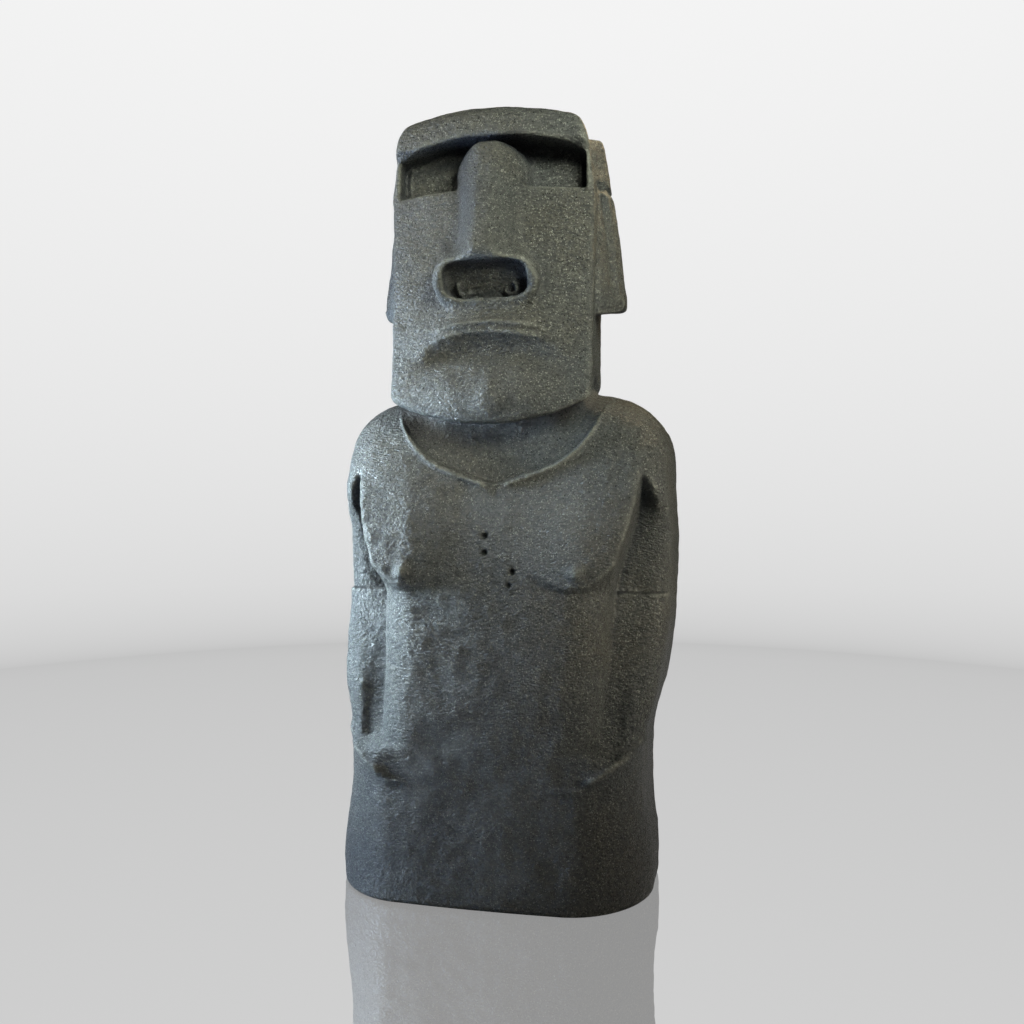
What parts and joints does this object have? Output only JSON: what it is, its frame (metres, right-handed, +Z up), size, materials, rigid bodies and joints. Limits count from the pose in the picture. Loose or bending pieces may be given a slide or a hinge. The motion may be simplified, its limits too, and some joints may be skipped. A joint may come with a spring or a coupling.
{
  "type": "standing moai statue",
  "caption": "Carved basalt moai, head and body in one block, with long ears, deep brow, arms at the sides and a flat underside to stand on.",
  "frame": {"origin": "middle of the bounding box at the flat underside, on the surface that the statue stands on", "axes": "+Z up along the statue's height, front towards -Y, +X to the viewer's right"},
  "size_m": [0.984, 0.614, 2.2],
  "materials": {
    "basalt": "pecked and worn dark basalt, slightly glossy where it was rubbed"
  },
  "bodies": {
    "root": {"statue": "basalt"}
  },
  "joints": []
}
